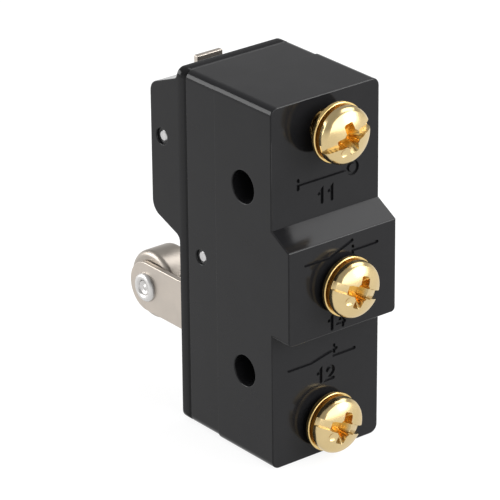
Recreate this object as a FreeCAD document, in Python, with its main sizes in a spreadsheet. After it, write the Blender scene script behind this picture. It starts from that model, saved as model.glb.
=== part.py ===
import FreeCAD, Part
import math
import os
import re

import Sketcher

# Lever micro switch: a snap-action switch in a moulded case, worked by a hinged sheet lever with a roller.
# Millimetres. The lower mounting hole's axis is the origin, at the middle of the case's width. X points to
# the terminals, Y runs across the width and Z up the length, to the common terminal's end.

# Driving sizes: the alias of each cell, its value, and what it measures.
SIZES = (
    ("case_width", 17.45, "across the case, between the two mounting faces"),
    ("hole_pitch", 25.4, "between the mounting holes"),
    ("hole_high_r", 2.18, "radius of the upper mounting hole"),
    ("hole_low_r", 2.1, "radius of the lower mounting hole"),
    ("end_margin", 12.05, "from a mounting hole's axis to the near end of the case"),
    ("terminal_face", 5.6, "from the hole line to the face with the common and closed terminals"),
    ("open_face", 9.0, "from the hole line to the raised face with the open terminal"),
    ("open_low", 6.4, "below the open terminal to the raised block's lower face"),
    ("open_high", 6.45, "above the open terminal to the raised block's outer edge"),
    ("open_shoulder", 8.35, "above the open terminal to the foot of the block's slope"),
    ("seam", 11.55, "from the hole line to the joint of case and cover"),
    ("parting", 5.6, "from the hole line to the mould's parting line"),
    ("parting_step", 0.12, "how far the terminal side of the parting line stands proud"),
    ("edge_round", 1.15, "radius of the case's long edges"),
    ("open_round", 0.6, "radius of the raised block's lower edges"),
    ("side_wall", 1.6, "thickness of the case's side walls"),
    ("end_wall", 1.5, "thickness of the case's end walls"),
    ("floor_gap", 0.1, "between the open strap and the floor of the cavity"),
    ("cavity_round", 0.8, "radius of the cavity's corners"),
    ("well_gap", 0.1, "room round a terminal strap in its well"),
    ("cover_plate", 1.85, "thickness of the cover's plate"),
    ("lip_depth", 0.8, "how far the cover's lip reaches into the case"),
    ("lip_wall", 1.0, "thickness of the cover's lip"),
    ("lip_gap", 0.1, "room between the lip and the case"),
    ("lug_wall", 1.6, "thickness of the cover's two pinned lugs"),
    ("lug_half", 1.8, "half the height of a pinned lug"),
    ("cover_pin_depth", 8.9, "from the hole line to the cover pin's axis"),
    ("pin_r", 0.72, "radius of the cover pin and the hinge pin"),
    ("pin_gap", 0.05, "room round a pin in the piece that turns or slips on it"),
    ("pin_sunk", 0.27, "how far a pin's ends lie below the faces"),
    ("cover_pin_mouth", 1.0, "radius of the recess at the cover pin's ends"),
    ("hinge_pin_mouth", 1.1, "radius of the recess at the hinge pin's ends"),
    ("boss_height", 5.62, "height of the hinge boss above the cover's face"),
    ("boss_above", 8.95, "above the hinge to where the boss's upper slope meets the cover"),
    ("boss_below", 12.9, "below the hinge to where the boss's lower slope meets the cover"),
    ("boss_slope", 21.0, "slope of the boss's two ends, in degrees"),
    ("boss_top_round", 1.6, "radius of the boss's upper outer corner"),
    ("boss_foot_round", 2.1, "radius of the boss's lower outer corner"),
    ("boss_inner_round", 1.0, "radius where the boss's slopes meet the cover"),
    ("slot_gap", 0.25, "room each side of the lever in the boss's slot"),
    ("slot_floor", 0.65, "height of the slot's floor above the cover's face"),
    ("stop_height", 3.6, "how far the tail stop reaches down from the boss's upper end"),
    ("stop_gap", 0.05, "between the lever's tail and its stop at rest"),
    ("hinge_rise", 1.5, "above the upper mounting hole to the hinge pin"),
    ("hinge_height", 3.33, "height of the hinge pin above the cover's face"),
    ("sheet", 0.8, "thickness of the lever's sheet"),
    ("tail_width", 4.1, "width of the lever's tail and of its strip in the slot"),
    ("tail_rise", 9.05, "above the hinge to the lever's tail end"),
    ("lug_reach", 1.25, "past the hinge pin's axis to the end of the lever's lugs"),
    ("lug_rise", 2.0, "half the height of the lever's hinge lugs"),
    ("relief", 0.5, "height of the bend reliefs beside the lugs"),
    ("flare_start", 17.9, "below the hinge to where the strip begins to widen"),
    ("flare_end", 21.4, "below the hinge to where the strip has its full width"),
    ("bend_r", 0.4, "inner radius of the lever's bends"),
    ("roller_reach", 11.17, "from the hinge pin to the roller's axis, away from the cover"),
    ("roller_drop", 26.65, "below the hinge to the roller's axis"),
    ("roller_r", 4.75, "radius of the roller"),
    ("roller_width", 4.8, "width of the roller"),
    ("roller_round", 0.8, "radius of the roller's rims"),
    ("ear_gap", 0.15, "between the roller and each ear"),
    ("ear_half", 3.47, "half the height of an ear"),
    ("rivet_r", 1.3, "radius of the roller rivet's shank"),
    ("rivet_gap", 0.05, "room round the rivet in the roller"),
    ("rivet_head_r", 1.87, "radius of the rivet's two heads"),
    ("rivet_head", 0.45, "height of the rivet's two heads"),
    ("rivet_hole_r", 0.95, "radius of the hole in the rivet's rolled end"),
    ("plunger_arm", 10.5, "below the hinge to the plunger's axis"),
    ("plunger_r", 1.5, "radius of the plunger in its guide"),
    ("plunger_gap", 0.05, "room round the plunger in its guide"),
    ("plunger_play", 0.05, "end play of the plunger at each end"),
    ("collar_r", 2.2, "radius of the plunger's collar"),
    ("collar", 0.8, "thickness of the plunger's collar"),
    ("nose_r", 0.9, "radius of the plunger's inner nose"),
    ("guide_reach", 0.5, "how far the plunger's guide stands inside the cover"),
    ("guide_wall", 1.3, "wall of the plunger's guide"),
    ("common_rise", 7.6, "above the upper mounting hole to the common terminal"),
    ("open_shift", 0.15, "above the middle of the two mounting holes to the open terminal"),
    ("closed_drop", 7.35, "below the lower mounting hole to the closed terminal"),
    ("strap", 0.8, "thickness of the terminal straps"),
    ("strap_width", 5.4, "width of the terminal straps"),
    ("strap_depth", 1.0, "hole line to the outer side of the common and closed straps"),
    ("open_strap_depth", 3.0, "hole line to the outer side of the open strap"),
    ("strap_reach", 3.3, "from a terminal's axis to its strap's free edge"),
    ("bush_r", 2.4, "radius of a terminal's threaded bush"),
    ("bush_sunk", 0.5, "how far a bush's end lies below its face"),
    ("screw_r", 1.96, "radius of a terminal screw's shank"),
    ("screw_gap", 0.06, "room round a screw in its bush"),
    ("screw_length", 6.0, "length of a terminal screw's shank"),
    ("screw_tip", 0.5, "chamfer at a screw's tip"),
    ("head_r", 3.75, "radius of a terminal screw's head"),
    ("head_rim", 0.7, "height of the straight rim of a head"),
    ("head_height", 2.1, "height of a head"),
    ("head_flat", 0.9, "radius of the flat on top of a head"),
    ("head_dome", 3.5, "radius of the head's dome in section"),
    ("slot_width", 1.08, "width of a head's slot and cross"),
    ("slot_depth", 1.15, "depth of a head's slot"),
    ("cross_depth", 1.6, "depth of a head's cross"),
    ("cross_half", 2.2, "half the length of the cross's second arm"),
    ("spring_washer", 0.55, "thickness of a spring washer"),
    ("spring_washer_r", 3.4, "outer radius of a spring washer"),
    ("spring_washer_slit", 0.5, "slit of a spring washer"),
    ("flat_washer", 0.6, "thickness of a flat washer"),
    ("flat_washer_r", 4.0, "outer radius of a flat washer"),
    ("washer_gap", 0.14, "room round the shank in a washer"),
    ("common_lift", 2.1, "from the face to the common screw's washers, as it stands"),
    ("open_lift", 0.7, "from the face to the open screw's washers, as it stands"),
    ("closed_lift", 0.85, "from the face to the closed screw's washers, as it stands"),
    ("common_turned", 15.0, "angle of the common screw's slot above the width, in degrees"),
    ("open_turned", -24.0, "angle of the open screw's slot above the width, in degrees"),
    ("closed_turned", -24.0, "angle of the closed screw's slot above the width, in degrees"),
    ("blade", 0.3, "thickness of the snap spring"),
    ("blade_depth", 7.05, "hole line to the snap spring's terminal side"),
    ("blade_half", 3.2, "half the width of the snap spring"),
    ("tongue_half", 0.95, "half the width of the spring's middle strip"),
    ("bow_width", 1.2, "width of the spring's two bowed strips"),
    ("bow_sag", 0.9, "how far a bowed strip stands out of its chord"),
    ("bow_drop", 3.2, "below the upper mounting hole to the bowed strips' ends"),
    ("notch", 0.5, "depth of the anchor's notches"),
    ("notch_half", 0.35, "half the mouth of the anchor's notches"),
    ("pad_above", 3.6, "above the contacts to the top of the spring's free pad"),
    ("pad_below", 1.9, "below the contacts to the end of the spring's free pad"),
    ("contact_drop", 6.4, "below the lower mounting hole to the contacts"),
    ("contact_r", 1.6, "radius of the fixed contacts"),
    ("contact", 0.7, "height of the fixed contacts"),
    ("contact_margin", 0.4, "from a fixed contact's rim to the end of its strap"),
    ("contact_shank_r", 0.8, "radius of the contacts' riveted shanks"),
    ("moving_r", 1.5, "radius of the moving contact"),
    ("moving", 0.73, "height of the moving contact on each side of the spring"),
    ("moving_shank_r", 0.7, "radius of the moving contact's shank"),
    ("shank_gap", 0.02, "room round a riveted shank"),
    ("contact_play", 0.02, "between the closed contacts as they meet at rest"),
    ("contact_travel", 0.62, "between the moving contact and the open contact at rest"),
    ("anchor_rivet_r", 1.0, "radius of the anchor rivet's shank"),
    ("anchor_head_r", 1.7, "radius of the anchor rivet's heads"),
    ("anchor_head", 0.6, "height of the anchor rivet's heads"),
)

# Places worked out from the driving sizes.
HALF = "(case_width/2)"
COVER_HALF = "(case_width/2 - parting_step)"
TOP = "(hole_pitch + end_margin)"
BOTTOM = "(-end_margin)"
COVER_FACE = "(-(seam + cover_plate))"
COVER_HIGH = "(hole_pitch + end_margin - parting_step)"
COVER_LOW = "(-(end_margin - parting_step))"
BOSS_FACE = "(-(seam + cover_plate + boss_height))"
BOSS_CLEAR = "(-(seam + cover_plate + boss_height + 1))"
HINGE_X = "(-(seam + cover_plate + hinge_height))"
HINGE_Z = "(hole_pitch + hinge_rise)"
STRIP_IN = "(-(seam + cover_plate + hinge_height + pin_r + pin_gap))"
STRIP_OUT = "(-(seam + cover_plate + hinge_height + pin_r + pin_gap + sheet))"
SLOT_HALF = "(tail_width/2 + slot_gap)"
ROLLER_X = "(-(seam + cover_plate + hinge_height + roller_reach))"
ROLLER_Z = "(hole_pitch + hinge_rise - roller_drop)"
EAR_IN = "(roller_width/2 + ear_gap)"
EAR_OUT = "(roller_width/2 + ear_gap + sheet)"
PLUNGER_Z = "(hole_pitch + hinge_rise - plunger_arm)"
GUIDE_END = "(-(seam - guide_reach))"
COMMON_Z = "(hole_pitch + common_rise)"
OPEN_Z = "(hole_pitch/2 + open_shift)"
CLOSED_Z = "(-closed_drop)"
CONTACT_Z = "(-contact_drop)"
BLADE_IN = "(-blade_depth)"
BLADE_OUT = "(-(blade_depth + blade))"
ANCHOR_IN = "(-(blade_depth - strap))"
COMMON_TOP_IN = "(-(blade_depth - 2*strap))"
NOTCH_Z = "(hole_pitch - bow_drop)"
OPEN_CONTACT_FACE = "(-(blade_depth - moving - contact_travel))"
CAVITY_FLOOR = "(-(blade_depth - moving - contact_travel - contact - strap - floor_gap))"
CLOSED_CONTACT_FACE = "(-(blade_depth + blade + moving + contact_play))"
STRAP_TOP = "(hole_pitch + end_margin - end_wall - well_gap)"
STRAP_BOTTOM = "(-(end_margin - end_wall - well_gap))"

# The three terminals: name, axis level, face, strap's outer side, washer lift and slot angle.
TERMINALS = (
    ("common", COMMON_Z, "terminal_face", "strap_depth", "common_lift", "common_turned"),
    ("open", OPEN_Z, "open_face", "open_strap_depth", "open_lift", "open_turned"),
    ("closed", CLOSED_Z, "terminal_face", "strap_depth", "closed_lift", "closed_turned"),
)

doc = FreeCAD.newDocument("lever_micro_switch")
sheet = doc.addObject("Spreadsheet::Sheet", "sizes")
for row, (alias, number, meaning) in enumerate(SIZES, start=1):
    sheet.set(f"A{row}", meaning)
    sheet.set(f"B{row}", str(number))
    sheet.setAlias(f"B{row}", alias)
doc.recompute()
ALIASES = {alias for alias, number, meaning in SIZES}
NODES = []
NEAR = 0.01


def tied(text):
    """An expression in the sizes' own names, with each name tied to its cell in the sheet."""
    return re.sub("[a-z_]+", lambda word: "sizes." + word[0] if word[0] in ALIASES else word[0], text)


def value(text):
    """The number that an expression in the sizes' names stands for."""
    return float(doc.getObject("case").evalExpression(tied(text)))


def new_body(name):
    """A body for one sub-part, which is also a file and a node of that name."""
    body = doc.addObject("PartDesign::Body", name)
    body.Label = name
    NODES.append(body)
    return body


def new_sketch(body, role, shift="0"):
    """A sketch on one of the body's own planes, moved along that plane's normal."""
    plane = [item for item in body.Origin.OriginFeatures if item.Role == role][0]
    sketch = body.newObject("Sketcher::SketchObject", body.Name + "_sketch")
    sketch.AttachmentSupport = [(plane, "")]
    sketch.MapMode = "FlatFace"
    sketch.setExpression("AttachmentOffset.Base.z", tied(shift))
    return sketch


def constrain(sketch, kind, *terms):
    """A driving constraint whose value is the last term, an expression in the sizes' names."""
    number = value(terms[-1])
    index = sketch.addConstraint(Sketcher.Constraint(kind, *terms[:-1], number))
    sketch.setExpression(f"Constraints[{index}]", tied(terms[-1]))


def arc_between(start, end, radius):
    """The minor arc from start to end: it turns left for a radius above zero, right for one below."""
    chord = FreeCAD.Vector(end[0] - start[0], end[1] - start[1], 0)
    side = FreeCAD.Vector(-chord.y, chord.x, 0).normalize() * math.copysign(1, radius)
    centre = FreeCAD.Vector((start[0] + end[0]) / 2, (start[1] + end[1]) / 2, 0)
    centre += side * math.sqrt(max(radius**2 - (chord.Length / 2) ** 2, 0))
    first, last = (start, end) if radius > 0 else (end, start)
    angles = [math.atan2(point[1] - centre.y, point[0] - centre.x) for point in (first, last)]
    return Part.ArcOfCircle(Part.Circle(centre, FreeCAD.Vector(0, 0, 1), abs(radius)), *angles)


def outline(sketch, corners):
    """A closed outline through the corners, each one (across, up) or, where an arc leaves it,
    (across, up, radius). Every corner and radius is tied to the sheet."""
    points = [(value(corner[0]), value(corner[1])) for corner in corners]
    first = sketch.GeometryCount
    ends = []
    for index, corner in enumerate(corners):
        start, end = points[index], points[(index + 1) % len(points)]
        if len(corner) == 3:
            radius = value(corner[2])
            sketch.addGeometry(arc_between(start, end, radius))
            ends.append((1, 2) if radius > 0 else (2, 1))
        else:
            vectors = [FreeCAD.Vector(*point, 0) for point in (start, end)]
            sketch.addGeometry(Part.LineSegment(*vectors))
            ends.append((1, 2))
    for index, corner in enumerate(corners):
        here, after = first + index, first + (index + 1) % len(corners)
        sketch.addConstraint(
            Sketcher.Constraint("Coincident", here, ends[index][1], after, ends[after - first][0])
        )
        constrain(sketch, "DistanceX", here, ends[index][0], corner[0])
        constrain(sketch, "DistanceY", here, ends[index][0], corner[1])
        if len(corner) == 3:
            constrain(sketch, "Radius", here, f"abs({corner[2]})")


def rectangle(left, low, right, high):
    """The four corners of a rectangle."""
    return [(left, low), (right, low), (right, high), (left, high)]


def soft_rectangle(left, low, right, high, radius):
    """A rectangle with its four corners rounded."""
    return [
        (f"{left} + {radius}", low),
        (f"{right} - {radius}", low, radius),
        (right, f"{low} + {radius}"),
        (right, f"{high} - {radius}", radius),
        (f"{right} - {radius}", high),
        (f"{left} + {radius}", high, radius),
        (left, f"{high} - {radius}"),
        (left, f"{low} + {radius}", radius),
    ]


def circle(sketch, across, up, radius):
    """A circle tied to the sheet by its centre and radius."""
    index = sketch.addGeometry(Part.Circle(FreeCAD.Vector(value(across), value(up), 0),
                                           FreeCAD.Vector(0, 0, 1), value(radius)))
    constrain(sketch, "DistanceX", index, 3, across)
    constrain(sketch, "DistanceY", index, 3, up)
    constrain(sketch, "Radius", index, radius)


def extrude(body, kind, role, low, high, draw):
    """A pad or a pocket of what draw puts in the sketch, from low to high along X, Y or Z. It runs
    against the sketch's normal, and only the XZ plane's normal points to the low side, to -Y."""
    sketch = new_sketch(body, role, f"-({low})" if role == "XZ_Plane" else high)
    draw(sketch)
    before = body.Shape.Volume if body.Tip else 0
    feature = body.newObject(kind, body.Name + "_extrusion")
    feature.Profile = sketch
    feature.setExpression("Length", tied(f"({high}) - ({low})"))
    grows = kind == "PartDesign::Pad"
    if grows:
        feature.Reversed = True
    doc.recompute()
    if (body.Shape.Volume > before) != grows:
        raise RuntimeError(f"{body.Label}: {feature.Label} adds or cuts nothing")
    return feature


def pad(body, role, low, high, corners):
    """Material inside an outline, from low to high."""
    return extrude(body, "PartDesign::Pad", role, low, high, lambda sketch: outline(sketch, corners))


def pocket(body, role, low, high, corners):
    """A cut-out inside an outline, from low to high."""
    return extrude(body, "PartDesign::Pocket", role, low, high, lambda sketch: outline(sketch, corners))


def stud(body, role, low, high, across, up, radius):
    """A round boss from low to high."""
    return extrude(body, "PartDesign::Pad", role, low, high,
                   lambda sketch: circle(sketch, across, up, radius))


def bore(body, role, low, high, across, up, radius):
    """A round hole from low to high."""
    return extrude(body, "PartDesign::Pocket", role, low, high,
                   lambda sketch: circle(sketch, across, up, radius))


def rounded(body, radius, *places):
    """Rounds the straight edges at the given places, each a dict of two of x, y and z. The object is
    symmetric about its middle plane, so a place holds at y and at -y."""
    tip = body.Tip
    wanted = [{axis: value(text) for axis, text in place.items()} for place in places]
    names = []
    for number, edge in enumerate(tip.Shape.Edges, start=1):
        if len(edge.Vertexes) != 2:
            continue
        ends = [vertex.Point for vertex in edge.Vertexes]
        for place in wanted:
            steps = [getattr(ends[0], axis) - getattr(ends[1], axis) for axis in place]
            gaps = [abs(getattr(ends[0], axis)) - abs(at) if axis == "y" else getattr(ends[0], axis) - at
                    for axis, at in place.items()]
            if max(abs(gap) for gap in steps + gaps) < NEAR:
                names.append(f"Edge{number}")
    fillet = body.newObject("PartDesign::Fillet", body.Name + "_round")
    fillet.Base = (tip, names)
    fillet.setExpression("Radius", tied(radius))
    doc.recompute()
    return fillet


def turned(name, axis, place, profile):
    """A turned piece. The profile's corners are (along, radius), with an arc where a corner has a third
    value, about the X or Y axis through the place, an (x, z) pair."""
    body = new_body(name)
    sketch = new_sketch(body, "XZ_Plane" if axis == "X" else "XY_Plane")
    if axis == "X":
        outline(sketch, profile)
    else:
        mirrored = [(corner[1], corner[0], *[f"-({r})" for r in corner[2:]]) for corner in profile]
        outline(sketch, mirrored)
    turn = body.newObject("PartDesign::Revolution", name + "_turn")
    turn.Profile = sketch
    turn.ReferenceAxis = (sketch, ["H_Axis" if axis == "X" else "V_Axis"])
    turn.Angle = 360
    body.setExpression("Placement.Base.x", tied(place[0]))
    body.setExpression("Placement.Base.z", tied(place[1]))
    doc.recompute()
    return body


def make_case():
    """The moulded case: two stepped halves about the parting line, the raised block of the open
    terminal with its sloped shoulder, the cavity, a well for each strap and all the bores."""
    body = new_body("case")
    doc.recompute()
    pad(body, "YZ_Plane", "-parting", "terminal_face",
        soft_rectangle(f"-{HALF}", BOTTOM, HALF, TOP, "edge_round"))
    pad(body, "YZ_Plane", "-seam", "-parting",
        soft_rectangle(f"-{COVER_HALF}", COVER_LOW, COVER_HALF, COVER_HIGH, "edge_round"))
    block_low = f"({OPEN_Z} - open_low)"
    pad(body, "XZ_Plane", f"-{HALF}", HALF, [
        ("0", block_low),
        ("open_face", block_low),
        ("open_face", f"{OPEN_Z} + open_high"),
        ("terminal_face", f"{OPEN_Z} + open_shoulder"),
        ("0", f"{OPEN_Z} + open_shoulder"),
    ])
    rounded(body, "open_round", {"y": HALF, "z": block_low})
    inner = f"({HALF} - side_wall)"
    room_low, room_high = f"({BOTTOM} + end_wall)", f"({TOP} - end_wall)"
    pocket(body, "YZ_Plane", "-seam", CAVITY_FLOOR,
           soft_rectangle(f"-{inner}", room_low, inner, room_high, "cavity_round"))
    well_half = "(strap_width/2 + well_gap)"
    wells = (
        ("strap_depth", f"{COMMON_Z} - strap_reach - well_gap", room_high),
        ("open_strap_depth", f"{OPEN_Z} - strap_reach - strap - well_gap",
         f"{OPEN_Z} + strap_reach + well_gap"),
        ("strap_depth", room_low, f"{CLOSED_Z} + strap_reach + well_gap"),
    )
    for depth, well_low, well_high in wells:
        pocket(body, "YZ_Plane", f"{CAVITY_FLOOR} - well_gap", depth,
               rectangle(f"-{well_half}", well_low, well_half, well_high))
    for name, level, face, depth, lift, turned_by in TERMINALS:
        bore(body, "YZ_Plane", depth, face, "0", level, "bush_r")
    bore(body, "XZ_Plane", f"-{HALF}", HALF, "0", "hole_pitch", "hole_high_r")
    bore(body, "XZ_Plane", f"-{HALF}", HALF, "0", "0", "hole_low_r")
    middle = "(hole_pitch/2)"
    bore(body, "XZ_Plane", f"-{HALF}", HALF, "-cover_pin_depth", middle, "pin_r")
    sunk = f"({COVER_HALF} - pin_sunk)"
    bore(body, "XZ_Plane", f"-{HALF}", f"-{sunk}", "-cover_pin_depth", middle, "cover_pin_mouth")
    bore(body, "XZ_Plane", sunk, HALF, "-cover_pin_depth", middle, "cover_pin_mouth")


def make_cover():
    """The moulded cover: a plate with the hinge boss outside, and a lip, two pinned lugs and the
    plunger's guide inside. A slot with a stop for the lever's tail runs the boss's whole length."""
    body = new_body("cover")
    pad(body, "YZ_Plane", COVER_FACE, "-seam",
        soft_rectangle(f"-{COVER_HALF}", COVER_LOW, COVER_HALF, COVER_HIGH, "edge_round"))
    rise = "(boss_height*tan(boss_slope*1 deg))"
    foot_high = f"({HINGE_Z} + boss_above)"
    foot_low = f"({HINGE_Z} - boss_below)"
    boss_high, boss_low = f"({foot_high} - {rise})", f"({foot_low} + {rise})"
    pad(body, "XZ_Plane", f"-{COVER_HALF}", COVER_HALF, [
        ("-seam", foot_high),
        (COVER_FACE, foot_high),
        (BOSS_FACE, boss_high),
        (BOSS_FACE, boss_low),
        (COVER_FACE, foot_low),
        ("-seam", foot_low),
    ])
    rounded(body, "boss_top_round", {"x": BOSS_FACE, "z": boss_high})
    rounded(body, "boss_foot_round", {"x": BOSS_FACE, "z": boss_low})
    rounded(body, "boss_inner_round", {"x": COVER_FACE, "z": foot_high}, {"x": COVER_FACE, "z": foot_low})
    stop = f"({foot_high} - stop_height)"
    floor = f"({COVER_FACE} - slot_floor)"
    pocket(body, "YZ_Plane", BOSS_CLEAR, floor,
           rectangle(f"-{SLOT_HALF}", f"{foot_low} - 1", SLOT_HALF, stop))
    pocket(body, "YZ_Plane", BOSS_CLEAR, f"{STRIP_IN} + stop_gap",
           rectangle(f"-{SLOT_HALF}", stop, SLOT_HALF, TOP))
    room, ring = f"({HALF} - side_wall - lip_gap)", f"({HALF} - side_wall - lip_gap - lip_wall)"
    lip_low, lip_high = f"({BOTTOM} + end_wall + lip_gap)", f"({TOP} - end_wall - lip_gap)"
    lip_end = "(-(seam - lip_depth))"
    pad(body, "YZ_Plane", "-seam", lip_end,
        soft_rectangle(f"-{room}", lip_low, room, lip_high, "cavity_round"))
    pocket(body, "YZ_Plane", "-seam", lip_end,
           rectangle(f"-{ring}", f"{lip_low} + lip_wall", ring, f"{lip_high} - lip_wall"))
    lug_end = "(-(cover_pin_depth - pin_r - 0.7*lug_half))"
    middle = "(hole_pitch/2)"
    for lug_low, lug_high in ((f"-{room}", f"-({room} - lug_wall)"), (f"{room} - lug_wall", room)):
        pad(body, "XZ_Plane", lug_low, lug_high,
            rectangle("-seam", f"{middle} - lug_half", lug_end, f"{middle} + lug_half"))
    stud(body, "YZ_Plane", "-seam", GUIDE_END, "0", PLUNGER_Z, "plunger_r + plunger_gap + guide_wall")
    bore(body, "YZ_Plane", BOSS_CLEAR, GUIDE_END, "0", PLUNGER_Z, "plunger_r + plunger_gap")
    bore(body, "XZ_Plane", f"-{HALF}", HALF, "-cover_pin_depth", middle, "pin_r + pin_gap")
    bore(body, "XZ_Plane", f"-{HALF}", HALF, HINGE_X, HINGE_Z, "pin_r")
    sunk = f"({COVER_HALF} - pin_sunk)"
    bore(body, "XZ_Plane", f"-{HALF}", f"-{sunk}", HINGE_X, HINGE_Z, "hinge_pin_mouth")
    bore(body, "XZ_Plane", sunk, HALF, HINGE_X, HINGE_Z, "hinge_pin_mouth")


def make_pins():
    """Two plain steel pins: one locks the cover's lugs in the case, one carries the lever."""
    end = f"({COVER_HALF} - pin_sunk)"
    places = {"cover_pin": ("-cover_pin_depth", "hole_pitch/2"), "hinge_pin": (HINGE_X, HINGE_Z)}
    for name, place in places.items():
        turned(name, "Y", place, rectangle(f"-{end}", "0", end, "pin_r"))


def channel(way, outer_x, inner_x, end_x, outer_y, inner_y):
    """The section of a sheet folded into a channel that opens to +X for a way of 1, to -X for -1."""
    wide, tight = "(sheet + bend_r)", "bend_r"
    return [
        (end_x, f"-{outer_y}"),
        (f"{outer_x} + {way}*{wide}", f"-{outer_y}", f"-({way}*{wide})"),
        (outer_x, f"{wide} - {outer_y}"),
        (outer_x, f"{outer_y} - {wide}", f"-({way}*{wide})"),
        (f"{outer_x} + {way}*{wide}", outer_y),
        (end_x, outer_y),
        (end_x, inner_y),
        (f"{inner_x} + {way}*{tight}", inner_y, f"{way}*{tight}"),
        (inner_x, f"{inner_y} - {tight}"),
        (inner_x, f"{tight} - {inner_y}", f"{way}*{tight}"),
        (f"{inner_x} + {way}*{tight}", f"-{inner_y}"),
        (end_x, f"-{inner_y}"),
    ]


def make_lever():
    """The lever, one folded sheet: a strip with a tail above the hinge, two lugs bent in round the
    hinge pin, and two ears bent out at its foot, which hold the roller."""
    body = new_body("lever")
    narrow, deep = "(tail_width/2)", "(tail_width/2 - sheet - bend_r)"
    lug_high, lug_low = f"({HINGE_Z} + lug_rise)", f"({HINGE_Z} - lug_rise)"
    foot, ear_high = f"({ROLLER_Z} - ear_half)", f"({ROLLER_Z} + ear_half)"
    ear_fold = f"({EAR_OUT} - sheet - bend_r)"
    side = [
        (ear_fold, foot),
        (ear_fold, ear_high),
        (EAR_OUT, ear_high),
        (EAR_OUT, f"{HINGE_Z} - flare_end"),
        (narrow, f"{HINGE_Z} - flare_start"),
        (narrow, f"{lug_low} - relief"),
        (deep, f"{lug_low} - relief"),
        (deep, f"{lug_high} + relief"),
        (narrow, f"{lug_high} + relief"),
        (narrow, f"{HINGE_Z} + tail_rise"),
    ]
    other = [(f"-{across}", up) for across, up in reversed(side)]
    pad(body, "YZ_Plane", STRIP_OUT, STRIP_IN, side + other)
    lug_end, ear_end = f"({HINGE_X} + lug_reach)", f"({ROLLER_X} - ear_half)"
    pad(body, "XY_Plane", lug_low, lug_high,
        channel("1", STRIP_OUT, STRIP_IN, lug_end, narrow, f"({narrow} - sheet)"))
    pad(body, "XY_Plane", foot, ear_high,
        channel("-1", STRIP_IN, STRIP_OUT, ear_end, EAR_OUT, EAR_IN))
    rounded(body, "ear_half - 0.05", {"x": ear_end, "z": foot}, {"x": ear_end, "z": ear_high})
    rounded(body, "lug_reach", {"x": lug_end, "z": lug_low}, {"x": lug_end, "z": lug_high})
    bore(body, "XZ_Plane", "-tail_width", "tail_width", HINGE_X, HINGE_Z, "pin_r + pin_gap")
    bore(body, "XZ_Plane", f"-{HALF}", HALF, ROLLER_X, ROLLER_Z, "rivet_r + shank_gap")


def make_roller():
    """The roller, turned with rounded rims, and the semi-tubular rivet it turns on: a low domed head
    at one end and a rolled rim round an open hole at the other."""
    half = "(roller_width/2)"
    hole = "(rivet_r + rivet_gap)"
    turned("roller", "Y", (ROLLER_X, ROLLER_Z), [
        (f"-{half}", hole),
        (half, hole),
        (half, "roller_r - roller_round", "roller_round"),
        (f"{half} - roller_round", "roller_r"),
        (f"-{half} + roller_round", "roller_r", "roller_round"),
        (f"-{half}", "roller_r - roller_round"),
    ])
    end, tip = EAR_OUT, f"({EAR_OUT} + rivet_head)"
    turned("roller_rivet", "Y", (ROLLER_X, ROLLER_Z), [
        (f"-{tip} + 2*rivet_head", "0"),
        (tip, "0"),
        (tip, "0.4*rivet_head_r", "-rivet_head_r"),
        (end, "rivet_head_r"),
        (end, "rivet_r"),
        (f"-{end}", "rivet_r"),
        (f"-{end}", "rivet_head_r"),
        (f"-{end} - 0.6*rivet_head", "rivet_head_r"),
        (f"-{tip}", "0.8*rivet_head_r"),
        (f"-{tip}", "rivet_hole_r + 0.2*rivet_head"),
        (f"-{tip} + 0.3*rivet_head", "rivet_hole_r"),
        (f"-{tip} + 2*rivet_head", "rivet_hole_r"),
    ])


def make_plunger():
    """The moulded plunger: a domed outer end under the lever, a collar that keeps it in the cover, and
    a thin nose on the snap spring."""
    outer = f"({STRIP_IN} + plunger_play)"
    collar_out = f"({GUIDE_END} + plunger_play)"
    collar_in = f"({GUIDE_END} + plunger_play + collar)"
    nose = f"({BLADE_OUT} - plunger_play)"
    turned("plunger", "X", ("0", PLUNGER_Z), [
        (outer, "0"),
        (nose, "0"),
        (nose, "0.5*nose_r"),
        (f"{nose} - 0.5*nose_r", "nose_r"),
        (f"{collar_in} + 0.5*nose_r", "nose_r"),
        (collar_in, "collar_r"),
        (collar_out, "collar_r"),
        (collar_out, "plunger_r"),
        (f"{outer} + 0.55*plunger_r", "plunger_r", "1.15*plunger_r"),
        (outer, "0.25*plunger_r"),
    ])


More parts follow.
